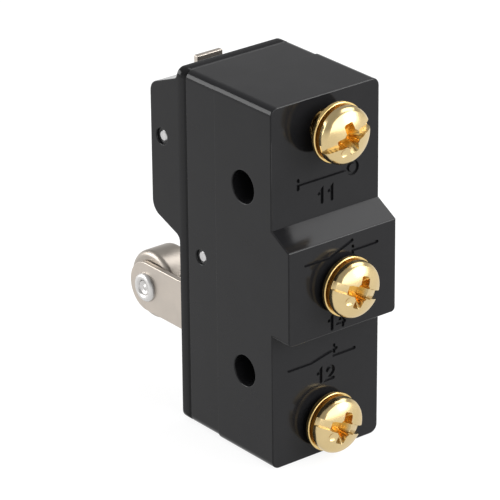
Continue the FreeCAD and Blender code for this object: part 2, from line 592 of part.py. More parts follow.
def make_snap_spring():
    """The snap spring, one leaf: a clamped pad, a flat middle strip and a free pad with the moving
    contact, and from the free pad two bowed strips that push against the anchor's notches."""
    body = new_body("snap_spring")
    clamped_low, clamped_high = f"({COMMON_Z} - strap_reach)", f"({COMMON_Z} + 0.6*strap_reach)"
    pad_high, pad_low = f"({CONTACT_Z} + pad_above)", f"({CONTACT_Z} - pad_below)"
    side = [
        ("blade_half", pad_low),
        ("blade_half", pad_high),
        ("tongue_half", pad_high),
        ("tongue_half", clamped_low),
        ("0.9*blade_half", clamped_low),
        ("0.9*blade_half", clamped_high),
    ]
    other = [(f"-{across}", up) for across, up in reversed(side)]
    pad(body, "YZ_Plane", BLADE_OUT, BLADE_IN, side + other)
    tip_x, tip_z = f"({BLADE_IN} + strap/2)", f"({NOTCH_Z} + 0.3*notch)"
    half = "(0.4*blade)"
    chord = f"({tip_z} - {pad_high})"
    radius = f"(({chord}^2/4 + bow_sag^2)/(2*bow_sag))"
    bow = [
        (f"{tip_x} - {half}", tip_z, f"-({radius} - {half})"),
        (BLADE_OUT, pad_high),
        (BLADE_IN, pad_high, f"{radius} + {half}"),
        (f"{tip_x} + {half}", tip_z),
    ]
    for low, high in (("-blade_half", "-(blade_half - bow_width)"), ("blade_half - bow_width", "blade_half")):
        pad(body, "XZ_Plane", low, high, bow)
    bore(body, "YZ_Plane", BLADE_OUT, BLADE_IN, "0", CONTACT_Z, "moving_shank_r + shank_gap")
    bore(body, "YZ_Plane", BLADE_OUT, BLADE_IN, "0", COMMON_Z, "anchor_rivet_r + shank_gap")


def make_anchor():
    """The spring anchor, a plate under the spring's clamped pad with two arms, whose notched ends take
    the push of the bowed strips, and the rivet that clamps spring, anchor and common strap."""
    body = new_body("spring_anchor")
    plate_low, plate_high = f"({COMMON_Z} - strap_reach)", f"({COMMON_Z} + 0.6*strap_reach)"
    arm = "(blade_half - bow_width)"
    side = [("blade_half", NOTCH_Z), ("blade_half", plate_high)]
    pad(body, "YZ_Plane", BLADE_IN, ANCHOR_IN, [
        (arm, NOTCH_Z),
        *side,
        *[(f"-{across}", up) for across, up in reversed(side)],
        (f"-{arm}", NOTCH_Z),
        (f"-{arm}", plate_low),
        (arm, plate_low),
    ])
    centre = f"({BLADE_IN} + strap/2)"
    pocket(body, "XZ_Plane", f"-{HALF}", HALF, [
        (f"{centre} - notch_half", f"{NOTCH_Z} - notch"),
        (f"{centre} + notch_half", f"{NOTCH_Z} - notch"),
        (f"{centre} + notch_half", NOTCH_Z),
        (centre, f"{NOTCH_Z} + notch"),
        (f"{centre} - notch_half", NOTCH_Z),
    ])
    bore(body, "YZ_Plane", BLADE_IN, ANCHOR_IN, "0", COMMON_Z, "anchor_rivet_r + shank_gap")
    far = f"({COMMON_TOP_IN} + anchor_head)"
    turned("anchor_rivet", "X", ("0", COMMON_Z), [
        (f"{BLADE_OUT} - anchor_head", "0"),
        (far, "0"),
        (far, "0.6*anchor_head_r"),
        (f"{COMMON_TOP_IN} + 0.4*anchor_head", "anchor_head_r"),
        (COMMON_TOP_IN, "anchor_head_r"),
        (COMMON_TOP_IN, "anchor_rivet_r"),
        (BLADE_OUT, "anchor_rivet_r"),
        (BLADE_OUT, "anchor_head_r"),
        (f"{BLADE_OUT} - 0.4*anchor_head", "anchor_head_r"),
        (f"{BLADE_OUT} - anchor_head", "0.6*anchor_head_r"),
    ])


def make_terminals():
    """The three terminal straps, each a bent strip from its bush to where the spring or a contact is
    riveted on, and the threaded brass bushes between the straps and the faces."""
    half = "(strap_width/2)"
    plate_in, plate_out = "(strap_depth - strap)", "strap_depth"
    common = new_body("common_terminal")
    low = f"{COMMON_Z} - strap_reach"
    pad(common, "XZ_Plane", f"-{half}", half, [
        (plate_out, low),
        (plate_out, STRAP_TOP),
        (ANCHOR_IN, STRAP_TOP),
        (ANCHOR_IN, low),
        (COMMON_TOP_IN, low),
        (COMMON_TOP_IN, f"{STRAP_TOP} - strap"),
        (plate_in, f"{STRAP_TOP} - strap"),
        (plate_in, low),
    ])
    rounded(common, "strap", {"x": ANCHOR_IN, "z": STRAP_TOP}, {"x": plate_out, "z": STRAP_TOP})
    bore(common, "YZ_Plane", ANCHOR_IN, COMMON_TOP_IN, "0", COMMON_Z, "anchor_rivet_r + shank_gap")
    bore(common, "YZ_Plane", plate_in, plate_out, "0", COMMON_Z, "screw_r + screw_gap")

    opened = new_body("open_terminal")
    plate_in, plate_out = "(open_strap_depth - strap)", "open_strap_depth"
    contact_out = f"({OPEN_CONTACT_FACE} + contact)"
    contact_in = f"({OPEN_CONTACT_FACE} + contact + strap)"
    arm = f"({OPEN_Z} - strap_reach - strap)"
    end = f"({CONTACT_Z} - contact_r - contact_margin)"
    pad(opened, "XZ_Plane", f"-{half}", half, [
        (plate_in, f"{OPEN_Z} + strap_reach"),
        (plate_in, f"{arm} + strap"),
        (contact_out, f"{arm} + strap"),
        (contact_out, end),
        (contact_in, end),
        (contact_in, arm),
        (plate_out, arm),
        (plate_out, f"{OPEN_Z} + strap_reach"),
    ])
    rounded(opened, "0.9*strap", {"x": contact_out, "z": f"{arm} + strap"}, {"x": plate_out, "z": arm})
    bore(opened, "YZ_Plane", contact_out, contact_in, "0", CONTACT_Z, "contact_shank_r + shank_gap")
    bore(opened, "YZ_Plane", plate_in, plate_out, "0", OPEN_Z, "screw_r + screw_gap")

    closed = new_body("closed_terminal")
    plate_in, plate_out = "(strap_depth - strap)", "strap_depth"
    contact_in = f"({CLOSED_CONTACT_FACE} - contact)"
    contact_out = f"({CLOSED_CONTACT_FACE} - contact - strap)"
    end = f"({CONTACT_Z} + contact_r + contact_margin)"
    pad(closed, "XZ_Plane", f"-{half}", half, [
        (plate_out, f"{CLOSED_Z} + strap_reach"),
        (plate_in, f"{CLOSED_Z} + strap_reach"),
        (plate_in, f"{STRAP_BOTTOM} + strap"),
        (contact_in, f"{STRAP_BOTTOM} + strap"),
        (contact_in, end),
        (contact_out, end),
        (contact_out, STRAP_BOTTOM),
        (plate_out, STRAP_BOTTOM),
    ])
    rounded(closed, "strap", {"x": contact_out, "z": STRAP_BOTTOM}, {"x": plate_out, "z": STRAP_BOTTOM})
    bore(closed, "YZ_Plane", contact_out, contact_in, "0", CONTACT_Z, "contact_shank_r + shank_gap")
    bore(closed, "YZ_Plane", plate_in, plate_out, "0", CLOSED_Z, "screw_r + screw_gap")

    for name, level, face, depth, lift, turned_by in TERMINALS:
        end = f"({face} - bush_sunk)"
        turned(f"{name}_bush", "X", ("0", level),
               rectangle(depth, "screw_r + screw_gap", end, "bush_r"))


def make_contacts():
    """The two fixed contacts, each riveted through its strap, and the double-faced moving contact."""
    head = OPEN_CONTACT_FACE
    seat, back = f"({head} + contact)", f"({head} + contact + strap)"
    turned("open_contact", "X", ("0", CONTACT_Z), [
        (head, "0"),
        (back, "0"),
        (back, "contact_shank_r"),
        (seat, "contact_shank_r"),
        (seat, "contact_r"),
        (f"{head} + 0.3*contact", "contact_r"),
        (head, "0.8*contact_r"),
    ])
    head = CLOSED_CONTACT_FACE
    seat, back = f"({head} - contact)", f"({head} - contact - strap)"
    turned("closed_contact", "X", ("0", CONTACT_Z), [
        (back, "0"),
        (head, "0"),
        (head, "0.8*contact_r"),
        (f"{head} - 0.3*contact", "contact_r"),
        (seat, "contact_r"),
        (seat, "contact_shank_r"),
        (back, "contact_shank_r"),
    ])
    near, far = f"({BLADE_IN} + moving)", f"({BLADE_OUT} - moving)"
    turned("moving_contact", "X", ("0", CONTACT_Z), [
        (far, "0"),
        (near, "0"),
        (near, "0.8*moving_r"),
        (f"{near} - 0.3*moving", "moving_r"),
        (BLADE_IN, "moving_r"),
        (BLADE_IN, "moving_shank_r"),
        (BLADE_OUT, "moving_shank_r"),
        (BLADE_OUT, "moving_r"),
        (f"{far} + 0.3*moving", "moving_r"),
        (far, "0.8*moving_r"),
    ])


def make_screws():
    """Each terminal's screw with its captive washers, as far out of the bush as it stands: a pan head
    with a slot across it and a cross in the middle, a split spring washer and a flat washer."""
    for name, level, face, depth, lift, turned_by in TERMINALS:
        flat_low = f"({face} + {lift})"
        split_low = f"({flat_low} + flat_washer)"
        under = f"({split_low} + spring_washer)"
        top = f"({under} + head_height)"
        tip = f"({under} - screw_length)"
        screw = turned(f"{name}_screw", "X", ("0", level), [
            (tip, "0"),
            (top, "0"),
            (top, "head_flat", "head_dome"),
            (f"{under} + head_rim", "head_r"),
            (under, "head_r"),
            (under, "screw_r"),
            (f"{tip} + screw_tip", "screw_r"),
            (tip, "screw_r - screw_tip"),
        ])
        arm, reach, clear = "(slot_width/2)", "(head_r + 1)", f"({top} + 1)"
        pocket(screw, "YZ_Plane", f"{top} - slot_depth", clear,
               rectangle(f"-{reach}", f"-{arm}", reach, arm))
        for across, up in ((arm, "cross_half"), ("cross_half", arm)):
            pocket(screw, "YZ_Plane", f"{top} - cross_depth", clear,
                   rectangle(f"-{across}", f"-{up}", across, up))
        bore_r = "(screw_r + washer_gap)"
        flat = turned(f"{name}_flat_washer", "X", ("0", level),
                      rectangle(flat_low, bore_r, split_low, "flat_washer_r"))
        split = turned(f"{name}_spring_washer", "X", ("0", level),
                       rectangle(split_low, bore_r, under, "spring_washer_r"))
        pocket(split, "YZ_Plane", split_low, under, rectangle(
            "0", "-spring_washer_slit/2", "spring_washer_r + 1", "spring_washer_slit/2"))
        for body in (screw, flat, split):
            body.setExpression("Placement.Rotation.Angle", tied(turned_by))
            body.setExpression("Placement.Rotation.Axis.x", "1")
            body.setExpression("Placement.Rotation.Axis.z", "0")


make_case()
make_cover()
make_pins()
make_lever()
make_roller()
make_plunger()
make_snap_spring()
make_anchor()
make_terminals()
make_contacts()
make_screws()
doc.recompute()

for item in doc.Objects:
    if "Invalid" in item.State or "Error" in item.State:
        raise RuntimeError(f"{item.Label} failed: {item.State}")
os.makedirs("parts", exist_ok=True)
for body in NODES:
    if body.Shape.isNull() or not body.Shape.isValid() or len(body.Shape.Solids) != 1:
        raise RuntimeError(f"{body.Label} is not one valid solid")
    body.Shape.exportStep(f"parts/{body.Label}.step")
    print(f"{body.Label}: {body.Shape.Volume:.2f} mm3")
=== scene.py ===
import math

import bmesh
import bpy
import numpy as np
from mathutils import Matrix, Vector


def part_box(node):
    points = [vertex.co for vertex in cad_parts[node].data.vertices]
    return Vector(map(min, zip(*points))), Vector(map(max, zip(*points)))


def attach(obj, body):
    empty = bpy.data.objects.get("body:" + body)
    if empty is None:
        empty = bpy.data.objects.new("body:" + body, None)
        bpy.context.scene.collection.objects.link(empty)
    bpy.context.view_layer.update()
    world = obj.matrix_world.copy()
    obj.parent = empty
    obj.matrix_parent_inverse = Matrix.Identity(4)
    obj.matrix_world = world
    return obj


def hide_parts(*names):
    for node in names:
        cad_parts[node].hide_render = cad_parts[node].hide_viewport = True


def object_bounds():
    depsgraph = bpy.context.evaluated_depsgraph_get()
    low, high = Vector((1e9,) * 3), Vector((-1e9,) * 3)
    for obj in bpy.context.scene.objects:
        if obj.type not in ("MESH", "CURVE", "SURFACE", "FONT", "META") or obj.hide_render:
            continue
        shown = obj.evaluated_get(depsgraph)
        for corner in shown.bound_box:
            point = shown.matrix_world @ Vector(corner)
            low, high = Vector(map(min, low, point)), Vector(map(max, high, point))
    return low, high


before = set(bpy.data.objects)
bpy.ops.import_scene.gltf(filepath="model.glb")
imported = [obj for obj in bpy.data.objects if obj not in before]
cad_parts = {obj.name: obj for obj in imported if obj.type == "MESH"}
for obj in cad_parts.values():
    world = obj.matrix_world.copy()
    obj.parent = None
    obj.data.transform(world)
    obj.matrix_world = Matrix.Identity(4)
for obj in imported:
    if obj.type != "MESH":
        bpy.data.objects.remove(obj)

cad_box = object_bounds()

# Camera
# A long lens looks down on the switch from the side of its terminals, so that the common terminal's
# end, the side with the mounting holes and the three screws all show.
MM = 0.001
AZIMUTH, ELEVATION, ROLL = (math.radians(angle) for angle in (51.665, 24.152, -0.548))
DISTANCE, SIDESTEP, AIM_HEIGHT = 453.75 * MM, -6.004 * MM, 14.386 * MM
FOCAL_PX, IMAGE_PX, SENSOR_MM = 3575.65, 500, 36
NEAREST, FARTHEST = 0.01, 20

back = Vector((
    math.sin(AZIMUTH) * math.cos(ELEVATION),
    -math.cos(AZIMUTH) * math.cos(ELEVATION),
    math.sin(ELEVATION),
))
level_right = Vector((math.cos(AZIMUTH), math.sin(AZIMUTH), 0))
level_up = back.cross(level_right)
right = math.cos(ROLL) * level_right + math.sin(ROLL) * level_up
up = math.cos(ROLL) * level_up - math.sin(ROLL) * level_right
lens = bpy.data.cameras.new("lens")
lens.sensor_width = SENSOR_MM
lens.lens = FOCAL_PX / IMAGE_PX * SENSOR_MM
lens.clip_start, lens.clip_end = NEAREST, FARTHEST
camera = bpy.data.objects.new("camera", lens)
bpy.context.scene.collection.objects.link(camera)
camera.matrix_world = Matrix.Translation(
    Vector((0, 0, AIM_HEIGHT)) + SIDESTEP * level_right + DISTANCE * back
) @ Matrix((right, up, back)).transposed().to_4x4()
bpy.context.scene.camera = camera

# Case
# A glossy black phenolic moulding, compression moulded in one piece, with a parting line round it.
# Its edges are a little soft, and the terminals' numbers and wiring signs are sunk in the faces.
MERGE_M = 1e-7
FLAT_ANGLE, SHARP_ANGLE, SHADE_ANGLE = (math.radians(angle) for angle in (0.5, 40, 32))
MOULDED_EDGE, STEP_EDGE, EDGE_STEPS, ROUND = 0.16 * MM, 0.055 * MM, 3, 0.5
PARTING_X, PARTING_CLEAR = -5.6 * MM, 0.3 * MM
ROOM_Y, ROOM_HIGH, ROOM_LOW, FACE_NEAR = 7.3 * MM, 36.4 * MM, -11 * MM, 5.3 * MM
FACE_X, BLOCK_X = 5.6 * MM, 9.0 * MM
MARK_DEPTH, MARK_HALF, MARK_FLOOR_HALF, MARK_OVER = 0.3 * MM, 0.24 * MM, 0.15 * MM, 0.04 * MM
MARK_LAYERS, LAYER_RISE, FACING_X = 3, 0.003 * MM, 0.9999
MARK_HEIGHT, MARK_PITCH, MARK_WIDTH = 1.7 * MM, 1.6 * MM, 0.62
END_SWEEP, END_STEPS = 60, 5
PATCH_DETAIL, GRAIN_DETAIL, NOISE_LOW, NOISE_HIGH = 4, 2, 0.3, 0.7
PHENOLIC_IOR = 1.27


def joined(node):
    """A bmesh of a CAD node: its loose triangles joined, and each flat face made one polygon."""
    mesh = bmesh.new()
    mesh.from_mesh(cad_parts[node].data)
    bmesh.ops.remove_doubles(mesh, verts=mesh.verts, dist=MERGE_M)
    bmesh.ops.dissolve_limit(mesh, angle_limit=FLAT_ANGLE, verts=mesh.verts, edges=mesh.edges)
    return mesh


def soften(mesh, radius, wanted):
    """Rounds the sharp outer edges whose middle is at a wanted place."""
    sharp = []
    for edge in mesh.edges:
        middle = (edge.verts[0].co + edge.verts[1].co) / 2
        if edge.is_manifold and edge.calc_face_angle_signed() > SHARP_ANGLE and wanted(middle):
            sharp.append(edge)
    bmesh.ops.bevel(mesh, geom=sharp, offset=radius, offset_type="OFFSET", segments=EDGE_STEPS,
                    profile=ROUND, affect="EDGES", clamp_overlap=False)


def shown(name, mesh, material, body, node):
    """Makes a bmesh a piece in place of the node that it stands for: smooth but for its sharp
    edges, with its material, on its body."""
    data = bpy.data.meshes.new(name)
    mesh.to_mesh(data)
    mesh.free()
    data.shade_smooth()
    data.set_sharp_from_angle(angle=SHADE_ANGLE)
    data.materials.append(material)
    piece = bpy.data.objects.new(name, data)
    bpy.context.scene.collection.objects.link(piece)
    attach(piece, body)
    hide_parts(node)
    return piece


def keep_flat(piece):
    """Lets the large flat faces of a piece keep their own normals beside its rounded edges."""
    piece.modifiers.new("flat_faces", "WEIGHTED_NORMAL").keep_sharp = True


def finish(name, low, high, patch_mm, roughness, grain_mm, depth_mm, metallic=1.0, ior=1.5):
    """A procedural finish: a noise of patches patch_mm wide mixes the two colours and moves the
    roughness between its two values, and a noise of grains grain_mm wide raises the surface by
    up to depth_mm."""
    material = bpy.data.materials.new(name)
    material.use_nodes = True
    tree = material.node_tree
    shader = tree.nodes["Principled BSDF"]
    shader.inputs["Metallic"].default_value = metallic
    shader.inputs["IOR"].default_value = ior
    place = tree.nodes.new("ShaderNodeTexCoord")
    patches = tree.nodes.new("ShaderNodeTexNoise")
    patches.inputs["Scale"].default_value = 1 / (patch_mm * MM)
    patches.inputs["Detail"].default_value = PATCH_DETAIL
    tree.links.new(place.outputs["Object"], patches.inputs["Vector"])
    colours = tree.nodes.new("ShaderNodeMix")
    colours.name = "colours"
    colours.data_type = "RGBA"
    colours.inputs["A"].default_value = (*low, 1)
    colours.inputs["B"].default_value = (*high, 1)
    tree.links.new(patches.outputs["Fac"], colours.inputs["Factor"])
    tree.links.new(colours.outputs["Result"], shader.inputs["Base Color"])
    rough = tree.nodes.new("ShaderNodeMapRange")
    for limit, value in (("From Min", NOISE_LOW), ("From Max", NOISE_HIGH),
                         ("To Min", roughness[0]), ("To Max", roughness[1])):
        rough.inputs[limit].default_value = value
    tree.links.new(patches.outputs["Fac"], rough.inputs["Value"])
    tree.links.new(rough.outputs["Result"], shader.inputs["Roughness"])
    grains = tree.nodes.new("ShaderNodeTexNoise")
    grains.inputs["Scale"].default_value = 1 / (grain_mm * MM)
    grains.inputs["Detail"].default_value = GRAIN_DETAIL
    tree.links.new(place.outputs["Object"], grains.inputs["Vector"])
    bump = tree.nodes.new("ShaderNodeBump")
    bump.inputs["Strength"].default_value = 1
    bump.inputs["Distance"].default_value = depth_mm * MM
    tree.links.new(grains.outputs["Fac"], bump.inputs["Height"])
    tree.links.new(bump.outputs["Normal"], shader.inputs["Normal"])
    return material


def arc(centre, radius, first, last, steps=9):
    """Points on a circle from one angle to another, in degrees."""
    angles = np.radians(np.linspace(first, last, steps))
    return np.array(centre) + radius * np.column_stack((np.cos(angles), np.sin(angles)))


def numeral(digit):
    """The lines of a plain numeral in a box MARK_WIDTH wide and 1 tall."""
    return {
        "1": [[(0.05, 0.74), (0.34, 1), (0.34, 0)]],
        "2": [[*arc((MARK_WIDTH / 2, 0.69), MARK_WIDTH / 2, 170, -35), (0, 0), (MARK_WIDTH, 0)]],
        "4": [[(0.46, 1), (0, 0.32), (MARK_WIDTH, 0.32)], [(0.46, 1), (0.46, 0)]],
    }[digit]


def number(text, across, level):
    """A number centred at a place on a face, as layers of lines: the first lines of its numerals,
    then the second ones."""
    left = across - (len(text) - 1) * MARK_PITCH / 2 - MARK_WIDTH / 2 * MARK_HEIGHT
    layers = [[], []]
    for place, digit in enumerate(text):
        for layer, line in zip(layers, numeral(digit)):
            start = left + place * MARK_PITCH
            layer.append([(start + u * MARK_HEIGHT, level + (v - 0.5) * MARK_HEIGHT)
                          for u, v in line])
    return layers


def contact(kind, across, level):
    """A terminal's wiring sign, a lead with a ring or a make or a break contact, as layers of lines
    within which none cross."""
    layers = {
        "common": [[[(-4.6, 0), (3.4, 0)]],
                   [arc((4.2, 0), 0.8, 0, 180), [(-4.6, -0.6), (-4.6, 0.6)]],
                   [arc((4.2, 0), 0.8, 180, 360)]],
        "make": [[[(-5.8, -0.5), (-1.9, -0.5), (1.7, 0.85)]], [[(1.8, -0.5), (5.8, -0.5)]],
                 [[(1.8, -0.9), (1.8, 0)]]],
        "break": [[[(-5.6, -0.5), (-1.9, -0.5), (2.2, 0.4)]],
                  [[(1.8, 0.9), (1.8, -0.5), (5.2, -0.5)]]],
    }[kind]
    return [[[(across + u * MM, level + v * MM) for u, v in line] for line in layer]
            for layer in layers]


def groove(line, low, high):
    """The corners and faces of a cutter for a groove along a line of (y, z) points. A point moves
    half the width to each side along the sum of its two segments' normals over one plus their
    product, and each end is rounded. The width grows at an even slope from the floor at low to the
    top at high."""
    line = np.array(line, float)
    steps = np.diff(line, axis=0)
    steps /= np.linalg.norm(steps, axis=1)[:, None]
    normals = np.column_stack((-steps[:, 1], steps[:, 0]))
    before, after = np.vstack((normals[:1], normals)), np.vstack((normals, normals[-1:]))
    side = (before + after) / (1 + (before * after).sum(axis=1))[:, None]
    sweep = np.radians(np.linspace(-END_SWEEP, END_SWEEP, END_STEPS))
    end = np.cos(sweep)[:, None] * steps[-1] + np.sin(sweep)[:, None] * normals[-1]
    start = -np.cos(sweep)[:, None] * steps[0] - np.sin(sweep)[:, None] * normals[0]
    centre = np.vstack((line, np.repeat(line[-1:], END_STEPS, 0),
                        line[::-1], np.repeat(line[:1], END_STEPS, 0)))
    reach = np.vstack((-side, end, side[::-1], start))
    count = len(centre)
    slope = (MARK_HALF - MARK_FLOOR_HALF) / MARK_DEPTH
    halves = ((low, MARK_FLOOR_HALF), (high, MARK_FLOOR_HALF + slope * (high - low)))
    corners = np.vstack([np.column_stack((np.full(count, depth), centre + half * reach))
                         for depth, half in halves])
    here = np.arange(count)
    after = (here + 1) % count
    sides = np.column_stack((here, after, after + count, here + count))
    return corners, [list(range(count))[::-1], list(range(count, 2 * count)), *sides.tolist()]


def cut_marks(piece, marks):
    """Cuts marks into faces that look along X, each mark a face's X and its layers of lines. The
    first layers of all marks are cut together, then the second ones, each a little less deep than
    the last. The faces that look along X are left flat, so that no groove bends their shading."""
    for layer in range(MARK_LAYERS):
        corners, faces, used = [], [], 0
        for face_x, layers in marks:
            for line in layers[layer] if layer < len(layers) else []:
                floor = face_x - MARK_DEPTH + layer * LAYER_RISE
                points, sides = groove(line, floor, face_x + MARK_OVER)
                corners.append(points)
                faces += [[corner + used for corner in side] for side in sides]
                used += len(points)
        tool_data = bpy.data.meshes.new("marks")
        tool_data.from_pydata(np.vstack(corners).tolist(), [], faces)
        tool = bpy.data.objects.new("marks", tool_data)
        bpy.context.scene.collection.objects.link(tool)
        cut = piece.modifiers.new("cut", "BOOLEAN")
        cut.operation, cut.solver, cut.object = "DIFFERENCE", "EXACT", tool
        bpy.context.view_layer.update()
        result = piece.evaluated_get(bpy.context.evaluated_depsgraph_get())
        piece.data = bpy.data.meshes.new_from_object(result)
        piece.modifiers.remove(cut)
        bpy.data.objects.remove(tool)
    piece.data.shade_smooth()
    piece.data.set_sharp_from_angle(angle=SHADE_ANGLE)
    normals = np.empty(len(piece.data.polygons) * 3, np.float32)
    piece.data.polygons.foreach_get("normal", normals)
    piece.data.polygons.foreach_set("use_smooth", normals[::3] < FACING_X)


def past_room(point):
    """True beyond the walls of the cavity, to either side of it, over it or under it."""
    return abs(point.y) > ROOM_Y or point.z > ROOM_HIGH or point.z < ROOM_LOW


def outside_of_case(point):
    """True away from the cavity, the wells and the shallow step at the parting line."""
    outside = past_room(point) or point.x > FACE_NEAR
    return outside and abs(point.x - PARTING_X) > PARTING_CLEAR


def parting_step(point):
    """True on the outside at the shallow step where the tool's halves met."""
    return past_room(point) and abs(point.x - PARTING_X) <= PARTING_CLEAR


phenolic = finish("phenolic", (0.0105, 0.0105, 0.0115), (0.0145, 0.0145, 0.0158), 3.5, (0.10, 0.16),
                  0.5, 0.0008, metallic=0.0, ior=PHENOLIC_IOR)
case_mesh = joined("case")
soften(case_mesh, MOULDED_EDGE, outside_of_case)
soften(case_mesh, STEP_EDGE, parting_step)
case_piece = shown("case_moulding", case_mesh, phenolic, "case", "case")
cut_marks(case_piece, [
    (FACE_X, contact("common", 0.2 * MM, 26.3 * MM)), (FACE_X, number("11", 0.2 * MM, 23.8 * MM)),
    (BLOCK_X, contact("make", -0.2 * MM, 17.5 * MM)), (BLOCK_X, number("14", -1.0 * MM, 7.9 * MM)),
    (FACE_X, contact("break", -0.4 * MM, 1.7 * MM)), (FACE_X, number("12", 0, -1.1 * MM)),
])
keep_flat(case_piece)

# Cover
# The second phenolic moulding, which closes the case and carries the lever's hinge between two
# cheeks. It is pinned on, not screwed. A fine groove shows where it meets the case.
SEAM_X, SEAM_WIDTH, SEAM_DEPTH = -11.55 * MM, 0.34 * MM, 0.7 * MM
RIM_Y, RIM_HIGH, RIM_LOW = 8.15 * MM, 36.8 * MM, -11.4 * MM
PLATE_X = SEAM_X - 2 * SEAM_WIDTH
CHANNEL_Y, CHANNEL_LOW, CHANNEL_HIGH = 2.3 * MM, 13 * MM, 34 * MM


def outside_of_cover(point):
    """True on the plate's outer side and on the boss, where the cover shows, but not in the channel
    that the lever swings into."""
    channel = abs(point.y) < CHANNEL_Y and CHANNEL_LOW < point.z < CHANNEL_HIGH
    return point.x < PLATE_X and not channel


cover_phenolic = finish("cover_phenolic", (0.0085, 0.0085, 0.0093), (0.012, 0.012, 0.013), 3,
                        (0.12, 0.2), 0.45, 0.001, metallic=0.0, ior=PHENOLIC_IOR)
cover_mesh = joined("cover")
soften(cover_mesh, MOULDED_EDGE, outside_of_cover)
# A ring of new edges bounds the groove, and the plate's rim beyond it moves in towards the middle.
bmesh.ops.bisect_plane(cover_mesh, geom=[*cover_mesh.verts, *cover_mesh.edges, *cover_mesh.faces],
                       plane_co=(SEAM_X - SEAM_WIDTH, 0, 0), plane_no=(1, 0, 0))
cover_piece = shown("cover_moulding", cover_mesh, cover_phenolic, "case", "cover")
place = np.empty(len(cover_piece.data.vertices) * 3, np.float32)
cover_piece.data.vertices.foreach_get("co", place)
place = place.reshape(-1, 3)
rim = (np.abs(place[:, 1]) > RIM_Y) | (place[:, 2] > RIM_HIGH) | (place[:, 2] < RIM_LOW)
rim &= place[:, 0] > SEAM_X - SEAM_WIDTH / 2
middle = (place.max(axis=0) + place.min(axis=0)) / 2
half = (place.max(axis=0) - place.min(axis=0)) / 2
place[rim, 1:] -= (place[rim, 1:] - middle[1:]) / half[1:] * SEAM_DEPTH
cover_piece.data.vertices.foreach_set("co", place.ravel())
cover_piece.data.update()
keep_flat(cover_piece)

# Pins
# Two cut steel pins. One locks the cover's lugs in the case, the other is the lever's hinge; their
# ends are chamfered and lie just under the faces.
PIN_CHAMFER, PIN_STEPS = 0.1 * MM, 48


def closed(points, faces):
    """A bmesh of points and faces with the doubles merged and all faces turned outwards."""
    data = bpy.data.meshes.new("grid")
    data.from_pydata(points.reshape(-1, 3).tolist(), [], faces)
    mesh = bmesh.new()
    mesh.from_mesh(data)
    bpy.data.meshes.remove(data)
    bmesh.ops.remove_doubles(mesh, verts=mesh.verts, dist=MERGE_M)
    bmesh.ops.recalc_face_normals(mesh, faces=mesh.faces)
    return mesh


def turned(profile, centre, axis, steps, bored=False):
    """A turned piece: a profile of (along, radius) pairs swept round its axis. A point is
    centre + along * axis + radius * (cos * side + sin * third), where the third direction is
    square to the other two. A bored piece's profile is a loop; the others are closed by a cap at
    each end."""
    profile, axis, side = np.array(profile, float), np.array(axis, float), np.array((0.0, 0.0, 1.0))
    angles = np.linspace(0, 2 * math.pi, steps, endpoint=False)
    ring = np.cos(angles)[:, None] * side + np.sin(angles)[:, None] * np.cross(axis, side)
    along, radius = profile[:, 0, None, None], profile[:, 1, None, None]
    points = np.array(centre) + along * axis + radius * ring
    index = np.arange(len(profile) * steps).reshape(-1, steps)
    here = index if bored else index[:-1]
    after = np.roll(index, -1, axis=0) if bored else index[1:]
    quads = np.stack((here, after, np.roll(after, -1, axis=1), np.roll(here, -1, axis=1)), axis=-1)
    caps = [] if bored else [index[0].tolist(), index[-1].tolist()]
    return closed(points, quads.reshape(-1, 4).tolist() + caps)


def middle_of(node):
    """The middle of a CAD node's box."""
    low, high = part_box(node)
    return (low + high) / 2


pin_steel = finish("pin_steel", (0.42, 0.42, 0.43), (0.62, 0.61, 0.60), 0.5, (0.25, 0.45),
                   0.12, 0.004)
for pin in ("cover_pin", "hinge_pin"):
    low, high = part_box(pin)
    reach, radius = (high.y - low.y) / 2, (high.z - low.z) / 2
    outline = [(-reach, radius - PIN_CHAMFER), (-reach + PIN_CHAMFER, radius),
               (reach - PIN_CHAMFER, radius), (reach, radius - PIN_CHAMFER)]
    shown(pin + "_steel", turned(outline, middle_of(pin), (0, 1, 0), PIN_STEPS), pin_steel, "case",
          pin)

# Lever
# One strip of spring steel, blanked, folded and nickel plated to a smooth satin. The blank's edges
# are rounded by tumbling.
SHEET_EDGE = 0.12 * MM
nickel = finish("nickel_sheet", (0.44, 0.40, 0.355), (0.55, 0.49, 0.43), 2.4, (0.34, 0.42),
                0.2, 0.0008)
lever_mesh = joined("lever")
soften(lever_mesh, SHEET_EDGE, lambda point: True)
keep_flat(shown("lever_sheet", lever_mesh, nickel, "lever", "lever"))

# Roller and rivet
# The roller is turned from steel and nickel plated, with well rounded rims. It runs on a
# semi-tubular rivet: a low domed head on the far ear, and on the near ear a rim rolled out round a
# shallow hollow.
ROLLER_ROUND, ROLLER_BORE, ROLLER_STEPS, ROUND_STEPS = 0.8 * MM, 1.35 * MM, 128, 10
RIVET_R, SHANK_R, HOLLOW_R, RIVET_STEPS = 2.03 * MM, 1.3 * MM, 0.95 * MM, 72
DOME_RISE, DOME_TO, DOME_STEPS = 0.45 * MM, 84, 8
LIP_RISE, LIP_FROM, LIP_STEPS = 0.62 * MM, 20, 12
HOLLOW_TIP, HOLLOW_FLOOR, HOLLOW_RISE, HOLLOW_STEPS = 0.03 * MM, 0.14 * MM, 0.2 * MM, 10
# Painted shade: the roller's nickel is darker than the lever's, for the shade on the roller.
shaded_roller_nickel = finish("shaded_roller_nickel", (0.33, 0.298, 0.262), (0.40, 0.362, 0.322), 2.0,
                       (0.36, 0.44), 0.2, 0.0006)
rivet_nickel = finish("rivet_nickel", (0.56, 0.55, 0.538), (0.64, 0.63, 0.618), 1.4, (0.36, 0.44),
                      0.3, 0.0004)

